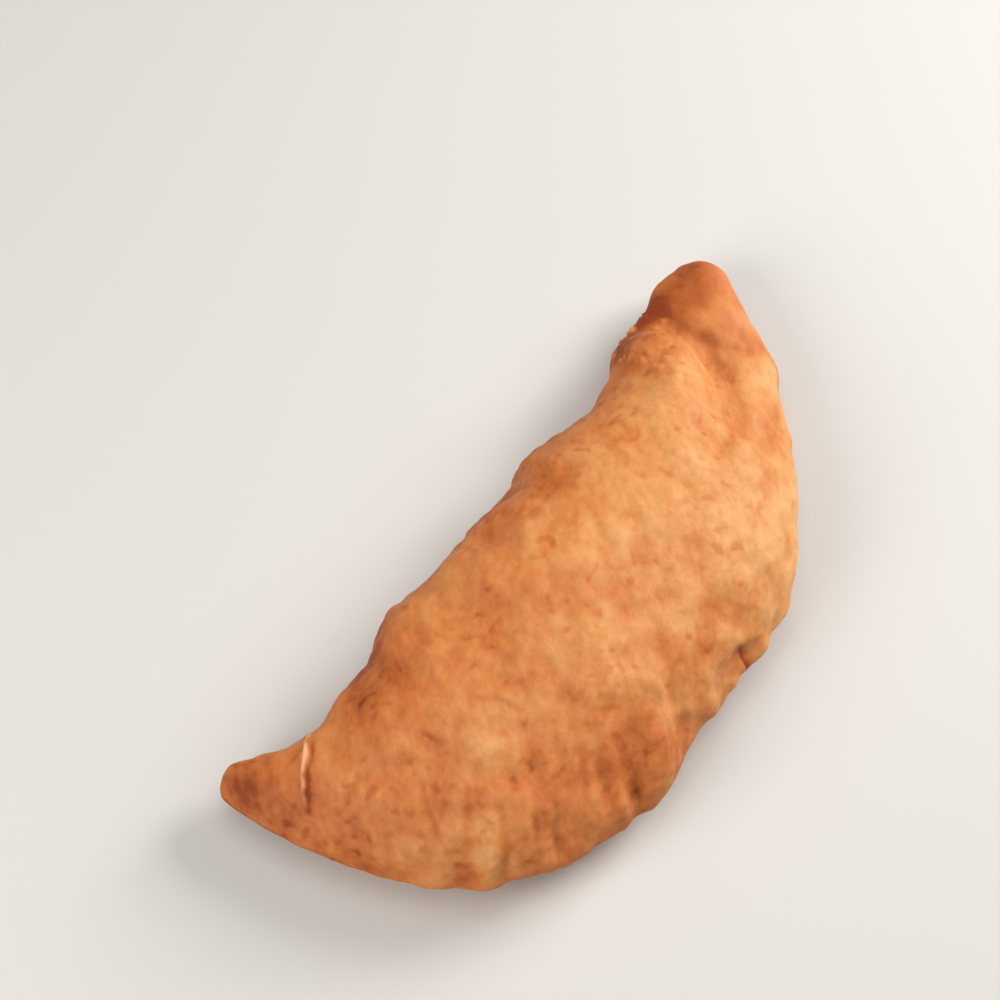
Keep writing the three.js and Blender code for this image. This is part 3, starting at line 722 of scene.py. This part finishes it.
# The browning with its painted shade, plus grain and specks, picks the colour from the scale.
heat_and_shade = browning_and_shade + (coarse + fine + specks * SPECK_SHADE) * speckled
fried = Tone.add(tree, "ShaderNodeValToRGB", {"stops": BROWNED_COLOURS}, {"Fac": heat_and_shade})
crust_colour = blend_colours(crack.between(*CRACK_RANGE) * CRACK_COVER, fried, CRACK_COLOUR)
tree.links.new(crust_colour.socket, shader.inputs["Base Color"])

dullness = DULLNESS + (grain(GLOSS_SIZE, 2.0) - 0.5) * DULLNESS_SPREAD
tree.links.new(dullness.socket, shader.inputs["Roughness"])
shader.inputs["Specular IOR Level"].default_value = 0.22
shader.inputs["Subsurface Weight"].default_value = 0.3
shader.inputs["Subsurface Radius"].default_value = (1.0, 0.35, 0.15)
shader.inputs["Subsurface Scale"].default_value = 0.0025

pebbles = 1 - cells(PEBBLE_SIZE)
height = grain(PORE_SIZE, 3.0) * PORE_HEIGHT + pebbles * PEBBLE_HEIGHT + grain(DUST_SIZE, 2.0) * DUST_HEIGHT
bump = Tone.add(tree, "ShaderNodeBump", None, {"Strength": 1.0, "Distance": 1.0, "Height": height})
tree.links.new(bump.socket, shader.inputs["Normal"])

calzone_mesh.materials.append(crust)
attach(calzone, "root")
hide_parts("calzone")

# ---- The table it rests on ----
# A plain pale surface, far larger than the view.
TABLE_HALF = 3.0
TABLE_COLOUR, TABLE_ROUGHNESS = (0.60, 0.59, 0.57, 1), 0.85
corners = [(-1, -1), (1, -1), (1, 1), (-1, 1)]
table_mesh = bpy.data.meshes.new("table")
table_mesh.from_pydata([(x * TABLE_HALF, y * TABLE_HALF, 0) for x, y in corners], [], [(0, 1, 2, 3)])
table = bpy.data.objects.new("table", table_mesh)
bpy.context.scene.collection.objects.link(table)
plain = bpy.data.materials.new("pale_table")
plain.use_nodes = True
table_shader = plain.node_tree.nodes["Principled BSDF"]
table_shader.inputs["Base Color"].default_value = TABLE_COLOUR
table_shader.inputs["Roughness"].default_value = TABLE_ROUGHNESS
table_mesh.materials.append(plain)
table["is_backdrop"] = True

# ---- Camera and light ----
# Seen as photographed, from about 64 degrees above, off the seam side of the near horn. One large soft
# lamp stands to the right and behind, a weaker one in front and one overhead, with a dim even sky.
AZIMUTH = math.radians(-50.27)
ELEVATION = math.radians(64)
DISTANCE = 0.7
LENS = 86.3
SENSOR = 36
AIM_HEIGHT = 20 * MM
AIM = Vector((5.8 * MM - middle[0], -1.1 * MM - middle[1], AIM_HEIGHT))
SKY_COLOUR, SKY_STRENGTH = (1.0, 0.98, 0.96, 1), 0.18


def aimed(thing, place, target):
    """A camera or lamp linked at a place, looking at the target."""
    made = bpy.data.objects.new(thing.name, thing)
    made.location = place
    made.rotation_mode = "QUATERNION"
    made.rotation_quaternion = (target - place).to_track_quat("-Z", "Y")
    bpy.context.scene.collection.objects.link(made)
    return made


def lamp(name, rightwards, onwards, upwards, size, power, colour):
    """A square soft lamp aimed at the calzone, placed so far to the right of it and beyond it in the view."""
    light = bpy.data.lights.new(name, "AREA")
    light.size = size
    light.energy = power
    light.color = colour
    place = right * rightwards + ahead * onwards + Vector((0, 0, upwards))
    aimed(light, place, Vector((0, 0, AIM_HEIGHT)))


back = Vector((
    math.sin(AZIMUTH) * math.cos(ELEVATION), -math.cos(AZIMUTH) * math.cos(ELEVATION), math.sin(ELEVATION),
))
right = Vector((math.cos(AZIMUTH), math.sin(AZIMUTH), 0))
ahead = Vector((-back.x, -back.y, 0)).normalized()
lens = bpy.data.cameras.new("camera")
lens.sensor_width = SENSOR
lens.lens = LENS
bpy.context.scene.camera = aimed(lens, AIM + back * DISTANCE, AIM)
lamp("window", 0.72, 0.50, 0.54, size=0.50, power=12.0, colour=(1.0, 0.98, 0.95))
lamp("reflector", -0.65, -0.45, 0.60, size=0.60, power=6.5, colour=(1.0, 0.95, 0.90))
lamp("ceiling", 0, 0, 1.0, size=0.60, power=3.0, colour=(1.0, 0.99, 0.98))
sky = bpy.data.worlds.new("sky")
sky.use_nodes = True
sky.node_tree.nodes["Background"].inputs["Color"].default_value = SKY_COLOUR
sky.node_tree.nodes["Background"].inputs["Strength"].default_value = SKY_STRENGTH
bpy.context.scene.world = sky
bpy.context.scene.view_settings.view_transform = "Standard"

low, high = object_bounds()
